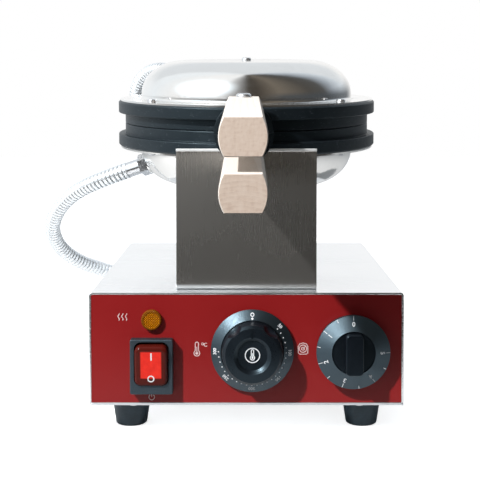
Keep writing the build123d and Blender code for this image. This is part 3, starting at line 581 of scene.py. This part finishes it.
# The finish of each slot, and of the node that has its own.
finishes = {
    "cover_steel": brushed_steel("cover_steel", (0.94, 0.955, 0.97), 0.25, (6, 1100, 1100), 0.7).material,
    "plate_steel": brushed_steel("plate_steel", (0.72, 0.75, 0.78), 0.30, (6, 900, 900)).material,
    "stand_steel": stand_steel(),
    "dome_steel": polished_steel("dome_steel", (0.86, 0.85, 0.83), 0.12),
    "red_paint": red_coat(),
    "foot_rubber": foot_rubber(),
    "zinc_steel": plated_steel("zinc_steel", (0.74, 0.75, 0.77), 0.30),
    "black_plastic": spark_plastic("switch_plastic", (0.008, 0.009, 0.012), 0.54, 900.0, 0.00020,
                                   gloss=0.9).material,
    "knob_plastic": cap_plastic(),
    "dial_plastic": skirt_plastic(),
    "red_clear_plastic": rocker_plastic(),
    "red_plastic": lit_plastic("red_plastic", (1.0, 0.022, 0.012), 0.6),
    "amber_plastic": lamp_lens(),
    "lamp_plastic": spark_plastic("lamp_plastic", (0.62, 0.60, 0.54), 0.5).material,
    "lamp_glass": clear_plastic("lamp_glass", (0.9, 0.85, 0.8), 0.05).material,
    "terminal_brass": plated_steel("terminal_brass", (0.72, 0.55, 0.28), 0.30),
    "thermostat_steel": plated_steel("thermostat_steel", (0.62, 0.62, 0.63), 0.34),
    "shaft_steel": plated_steel("shaft_steel", (0.62, 0.62, 0.64), 0.25),
    "ceramic": plain_ceramic(),
    "fitting_metal": plated_steel("fitting_metal", (0.78, 0.79, 0.81), 0.20),
    "black_nonstick": nonstick_coat(),
    "heater_steel": plated_steel("heater_steel", (0.30, 0.28, 0.27), 0.48),
    "handle_wood": handle_wood("lower_handle_wood", (0.004, 0, -0.178), 0.0030, 0.55, 420),
    "hose_steel": hose_metal(),
}
own_finishes = {
    "upper_handle": handle_wood("upper_handle_wood", (0.055, 0, -0.300), 0.0042, 0.18, 620),
    "timer_knob": timer_plastic(),
}
white_ink = printed_ink("white_ink", (0.86, 0.90, 0.94))
rose_ink = printed_ink("pale_ink", (0.80, 0.62, 0.62))


def dress_frame():
    """Give each carried-over node its own finish or the one of its slot."""
    for part in frame["record"]["subparts"]:
        piece = nodes[part["node"]]
        finish = own_finishes.get(part["node"], finishes[part["material_slot"]])
        for holder in piece.material_slots:
            holder.material = finish


dress_frame()


# Hoses

def route_points(name, route):
    """Points along the smooth curve whose control points are the route's."""
    data = bpy.data.curves.new(name, "CURVE")
    data.dimensions = "3D"
    data.resolution_u = 16
    spline = data.splines.new("NURBS")
    spline.points.add(len(route) - 1)
    for point, at in zip(spline.points, route):
        point.co = (*at, 1)
    spline.order_u = 3
    spline.use_endpoint_u = True
    holder = bpy.data.objects.new(name, data)
    bpy.context.scene.collection.objects.link(holder)
    line = bpy.data.meshes.new_from_object(holder.evaluated_get(bpy.context.evaluated_depsgraph_get()))
    points = [v.co.copy() for v in line.vertices]
    bpy.data.objects.remove(holder)
    return points


def growing_tree(name, **inputs):
    """Node tree with named inputs, for a modifier; returns the tree, its wiring and what it is given."""
    tree = bpy.data.node_groups.new(name, "GeometryNodeTree")
    tree.is_modifier = True
    for label, kind in inputs.items():
        tree.interface.new_socket(label, in_out="INPUT", socket_type="NodeSocket" + kind)
    tree.interface.new_socket("Piece", in_out="OUTPUT", socket_type="NodeSocketGeometry")
    wiring = Wiring(tree)
    return tree, wiring, wiring.node("NodeGroupInput").outputs


def end_tree(wiring, shape, finish):
    """Make the shape's instances real, give it its finish and send it out."""
    whole = wiring.node("GeometryNodeRealizeInstances", {"Geometry": shape}).outputs[0]
    dressed = wiring.node("GeometryNodeSetMaterial", {"Geometry": whole, "Material": finish}).outputs[0]
    wiring.feed(wiring.node("NodeGroupOutput").inputs[0], dressed)


def ribbed_tube_tree():
    """Node tree that turns a line into a ribbed hose: each rib's first ring is in its groove."""
    tree, wiring, given = growing_tree("ribbed_hose", Line="Geometry", Ribs="Int", Radius="Float",
                                       Groove="Float", Finish="Material")
    line = wiring.node("GeometryNodeMeshToCurve", {"Mesh": given["Line"]}).outputs[0]
    rings = wiring.math("ADD", wiring.math("MULTIPLY", given["Ribs"], RINGS_PER_RIB), 1)
    even = wiring.node("GeometryNodeResampleCurve", {"Curve": line, "Count": rings}).outputs[0]
    index = wiring.node("GeometryNodeInputIndex").outputs[0]
    middle = RINGS_PER_RIB / 2
    step = wiring.math("MODULO", index, RINGS_PER_RIB)
    off_centre = wiring.math("ABSOLUTE", wiring.math("SUBTRACT", step, middle))
    crown = wiring.span(off_centre, middle, 3.2)
    sunk = wiring.math("MULTIPLY", given["Groove"], wiring.math("SUBTRACT", 1.0, crown))
    radius = wiring.math("SUBTRACT", given["Radius"], sunk)
    # The crown value is stored for the hose's finish, which also uses it to paint shade into the grooves.
    noted = {"Geometry": even, "Name": "crown", "Value": crown}
    marked = wiring.node("GeometryNodeStoreNamedAttribute", noted, data_type="FLOAT", domain="POINT")
    ring = wiring.node("GeometryNodeCurvePrimitiveCircle", {"Resolution": 28, "Radius": 1.0}).outputs[0]
    swept = {"Curve": marked.outputs[0], "Profile Curve": ring, "Scale": radius, "Fill Caps": True}
    tube = wiring.node("GeometryNodeCurveToMesh", swept).outputs[0]
    smooth = wiring.node("GeometryNodeSetShadeSmooth", {"Geometry": tube}).outputs[0]
    end_tree(wiring, smooth, given["Finish"])
    return tree


def grown(name, mesh, tree, **sizes):
    """Run a node tree on a mesh, with its named inputs set, and keep the plain result."""
    holder = bpy.data.objects.new(name + "_seed", mesh)
    bpy.context.scene.collection.objects.link(holder)
    modifier = holder.modifiers.new("grow", "NODES")
    modifier.node_group = tree
    for item in tree.interface.items_tree:
        if item.item_type == "SOCKET" and item.in_out == "INPUT" and item.name in sizes:
            modifier[item.identifier] = sizes[item.name]
    done = holder.evaluated_get(bpy.context.evaluated_depsgraph_get())
    result = bpy.data.meshes.new_from_object(done)
    bpy.data.objects.remove(holder)
    piece = bpy.data.objects.new(name, result)
    bpy.context.scene.collection.objects.link(piece)
    return piece


def hose_piece(name, route, node, tree):
    """One ribbed hose along its route, laid in place of its node, which is hidden."""
    points = route_points(name + "_line", route)
    length = sum((b - a).length for a, b in zip(points, points[1:]))
    line = bpy.data.meshes.new(name + "_line")
    line.from_pydata(points, [(i, i + 1) for i in range(len(points) - 1)], [])
    piece = grown(name, line, tree, Ribs=round(length / RIB_PITCH), Radius=HOSE_D / 2, Groove=HOSE_GROOVE,
                  Finish=finishes["hose_steel"])
    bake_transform(piece)
    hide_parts(node)


hose_tree = ribbed_tube_tree()
hose_piece("lower_hose_ribbed", LOWER_ROUTE,
           "lower_hose", hose_tree)
hose_piece("upper_hose_ribbed_top", UPPER_ROUTE_TOP,
           "upper_hose", hose_tree)
hose_piece("upper_hose_ribbed_drop", UPPER_ROUTE_DROP,
           "upper_hose", hose_tree)


# Marks on the panel and the dials, drawn flat in millimetres: u to the right, v up, seen from the front

class Print:
    """Flat marks that are laid on a surface in front of the panel."""

    def __init__(self):
        self.points = []
        self.faces = []

    def add(self, points, faces):
        start = len(self.points)
        self.points += points
        self.faces += [[start + i for i in face] for face in faces]

    def stroke(self, line, width, closed=False):
        """Band along a line of points."""
        ends = [Vector(p) for p in line]
        count = len(ends)
        left, right = [], []
        for i, at in enumerate(ends):
            before = ends[i - 1] if closed or i > 0 else at
            after = ends[(i + 1) % count] if closed or i < count - 1 else at
            way = (after - before).normalized()
            side = Vector((-way.y, way.x)) * width / 2
            left.append(tuple(at + side))
            right.append(tuple(at - side))
        links = count if closed else count - 1
        faces = [(i, count + i, count + (i + 1) % count, (i + 1) % count) for i in range(links)]
        self.add(left + right, faces)

    def arc(self, centre, radius, width, start=0, end=360, steps=40):
        """Band along an arc, counter-clockwise from the right, in degrees."""
        turn = [radians(start + (end - start) * i / steps) for i in range(steps + 1)]
        if end - start == 360:
            turn.pop()
        line = [(centre[0] + radius * cos(a), centre[1] + radius * sin(a)) for a in turn]
        self.stroke(line, width, closed=end - start == 360)

    def disc(self, centre, radius, steps=20):
        turn = [2 * pi * i / steps for i in range(steps)]
        ring = [(centre[0] + radius * cos(a), centre[1] + radius * sin(a)) for a in turn]
        self.add(ring, [tuple(range(steps))])

    def word(self, text, centre, height, turn=0.0):
        """Plain figures of a given height, turned clockwise by an angle."""
        data = bpy.data.curves.new("figures", "FONT")
        data.body = text
        data.size = height / 0.7
        data.align_x = "CENTER"
        data.align_y = "CENTER"
        data.resolution_u = 4
        data.offset = 0.03 * height
        holder = bpy.data.objects.new("figures", data)
        bpy.context.scene.collection.objects.link(holder)
        flat = bpy.data.meshes.new_from_object(holder.evaluated_get(bpy.context.evaluated_depsgraph_get()))
        bpy.data.objects.remove(holder)
        spin = Matrix.Rotation(radians(-turn), 2)
        points = [tuple(spin @ v.co.xy + Vector(centre)) for v in flat.vertices]
        self.add(points, [tuple(p.vertices) for p in flat.polygons])

    def lay(self, name, centre, height, finish, body):
        """Lay the marks in front of the panel round a centre; height gives how far out each point is."""
        mesh = bpy.data.meshes.new(name)
        spots = []
        for u, v in self.points:
            spots.append(Vector((centre[0] + u, PANEL_Y - height(u, v), centre[1] + v)) * MM)
        mesh.from_pydata(spots, [], self.faces)
        mesh.update()
        for face in mesh.polygons:
            if face.normal.y > 0:
                face.flip()
        mesh.materials.append(finish)
        piece = bpy.data.objects.new(name, mesh)
        bpy.context.scene.collection.objects.link(piece)
        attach(piece, body)
        return piece


def clock_point(radius, turn):
    """Point at a radius, at an angle clockwise from the top."""
    return radius * sin(radians(turn)), radius * cos(radians(turn))


def thermometer(marks, centre, size, width):
    """Outline of a thermometer: a tall tube with a bulb."""
    x, y = centre
    neck = 0.11 * size
    bulb = 0.20 * size
    top = y + 0.40 * size
    low = y - 0.22 * size
    marks.arc((x, top), neck, width, 0, 180, 12)
    for side in (-1, 1):
        marks.stroke([(x + side * neck, top), (x + side * neck, low + 0.1 * size)], width)
    marks.arc((x, low - 0.04 * size), bulb, width, 118, 422, 28)
    marks.disc((x, low - 0.04 * size), bulb * 0.52)
    marks.stroke([(x, low), (x, y + 0.18 * size)], width)


def panel_marks():
    """Pictograms beside the controls: degrees Celsius, a timer, heat and power."""
    marks = Print()
    line = 0.6
    thermometer(marks, (-39.4, 67.2), 11.5, 0.65)
    marks.arc((-34.9, 71.6), 0.8, 0.5, steps=16)
    marks.word("C", (-32.6, 70.8), 2.9)
    clock = (45, 67.8)
    marks.stroke([(41.2, 64.4), (41.2, 69.6), (42.3, 71.6), (45.0, 72.4), (47.7, 71.6), (48.8, 69.6),
                  (48.8, 64.4), (47.6, 63.4), (42.4, 63.4)], line, closed=True)
    marks.arc(clock, 2.9, line, steps=28)
    marks.arc(clock, 1.2, line, steps=20)
    marks.stroke([clock, (46.7, 69.6)], line)
    for x in (-101.5, -98.5, -95.5):
        wave = [(x + 0.6 * sin(i * 0.9), 90.4 + 0.62 * i) for i in range(10)]
        marks.stroke(wave, line)
    marks.arc((-75.4, 28.9), 2.2, line, 125, 415, 30)
    marks.stroke([(-75.4, 29.0), (-75.4, 31.9)], line)
    marks.lay("panel_pictograms", (0, 0), lambda u, v: -0.14, rose_ink, "base")


def dot_ring_tree():
    """Node tree that sets small discs along an arc, clockwise from the top."""
    tree, wiring, given = growing_tree("dot_ring", Seed="Geometry", Dots="Int", Radius="Float", First="Float",
                                       Step="Float", Dot="Float", Finish="Material")
    row = wiring.node("GeometryNodeMeshLine", {"Count": given["Dots"]}).outputs[0]
    index = wiring.node("GeometryNodeInputIndex").outputs[0]
    turn = wiring.math("ADD", given["First"], wiring.math("MULTIPLY", index, given["Step"]))
    across = wiring.math("MULTIPLY", given["Radius"], wiring.math("SINE", turn))
    up = wiring.math("MULTIPLY", given["Radius"], wiring.math("COSINE", turn))
    spot = wiring.node("ShaderNodeCombineXYZ", {0: across, 1: 0.0, 2: up}).outputs[0]
    placed = wiring.node("GeometryNodeSetPosition", {"Geometry": row, "Position": spot}).outputs[0]
    disc = wiring.node("GeometryNodeMeshCircle", {"Vertices": 14, "Radius": given["Dot"]}, fill_type="NGON")
    inputs = {"Points": placed, "Instance": disc.outputs[0], "Rotation": (radians(90), 0, 0)}
    discs = wiring.node("GeometryNodeInstanceOnPoints", inputs).outputs[0]
    end_tree(wiring, discs, given["Finish"])
    return tree


def skirt_height(radius):
    """How far out the ink on the cone of the thermostat's skirt is, at a radius."""
    rim_radius, rim_height, slope = 32.9, 3.26, 0.4872
    return rim_height + (rim_radius - radius) * slope


def timer_height(radius):
    """How far out the ink on the cone of the timer's knob is, at a radius."""
    rim_radius, rim_height, slope = 29.1, 8.86, 0.3025
    return rim_height + (rim_radius - radius) * slope


def thermostat_marks():
    """Temperatures and dots round the thermostat's skirt, and the sign on its cap."""
    first, step = 47.5, 8.9
    dots = grown("thermostat_dots", bpy.data.meshes.new("dot_seed"), dot_ring_tree(), Dots=26,
                 Radius=26.8 * MM, First=radians(first), Step=radians(step), Dot=0.5 * MM, Finish=white_ink)
    for spot in dots.data.vertices:
        out = spot.co.length / MM
        spot.co.y = (PANEL_Y - skirt_height(out)) * MM
    dots.data.transform(Matrix.Translation(Vector((THERMOSTAT[0], 0, THERMOSTAT[1])) * MM))
    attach(dots, "thermostat_dial")
    marks = Print()
    for i, figure in enumerate(("50", "100", "150", "200", "250", "300")):
        turn = first + step * 5 * i
        marks.word(figure, clock_point(29.6, turn), 2.5, turn)
    marks.disc(clock_point(26.3, 0), 0.9)
    marks.arc(clock_point(29.2, 0), 1.25, 0.6, steps=18)
    marks.lay("thermostat_figures", THERMOSTAT, lambda u, v: skirt_height(hypot(u, v)), white_ink,
              "thermostat_dial")
    sign = Print()
    sign.arc((0, 0), 5.6, 0.8, steps=40)
    thermometer(sign, (0, 0.2), 8.4, 0.7)
    sign.lay("cap_sign", THERMOSTAT, lambda u, v: 18.06 + 0.052 * hypot(u, v), white_ink, "thermostat_dial")


def timer_marks():
    """Minutes round the timer's skirt."""
    marks = Print()
    for i, turn in enumerate((0, 306, 252, 198, 144, 90)):
        marks.word(str(i), clock_point(22.6, turn), 3.4, turn)
        marks.stroke([clock_point(25.6, turn), clock_point(28.9, turn)], 0.5)
    for turn in (333, 279, 225, 171, 117):
        marks.stroke([clock_point(26.4, turn), clock_point(28.9, turn)], 0.5)
    marks.lay("timer_figures", TIMER, lambda u, v: timer_height(hypot(u, v)), white_ink, "timer_dial")


def rocker_marks():
    """I and O on the rocker, which is tilted with its off side in."""
    marks = Print()
    marks.stroke([(0.3, 5.4), (0.3, 11.4)], 1.1)
    marks.arc((0, -9.6), 2.3, 0.9, steps=28)
    piece = marks.lay("rocker_signs", SWITCH, lambda u, v: 12.08, white_ink, "rocker_button")
    pivot = Vector((SWITCH[0], PANEL_Y + 2.0, SWITCH[1])) * MM
    turn = Matrix.Translation(pivot) @ Matrix.Rotation(radians(6), 4, "X") @ Matrix.Translation(-pivot)
    piece.data.transform(turn)


panel_marks()
thermostat_marks()
timer_marks()
rocker_marks()
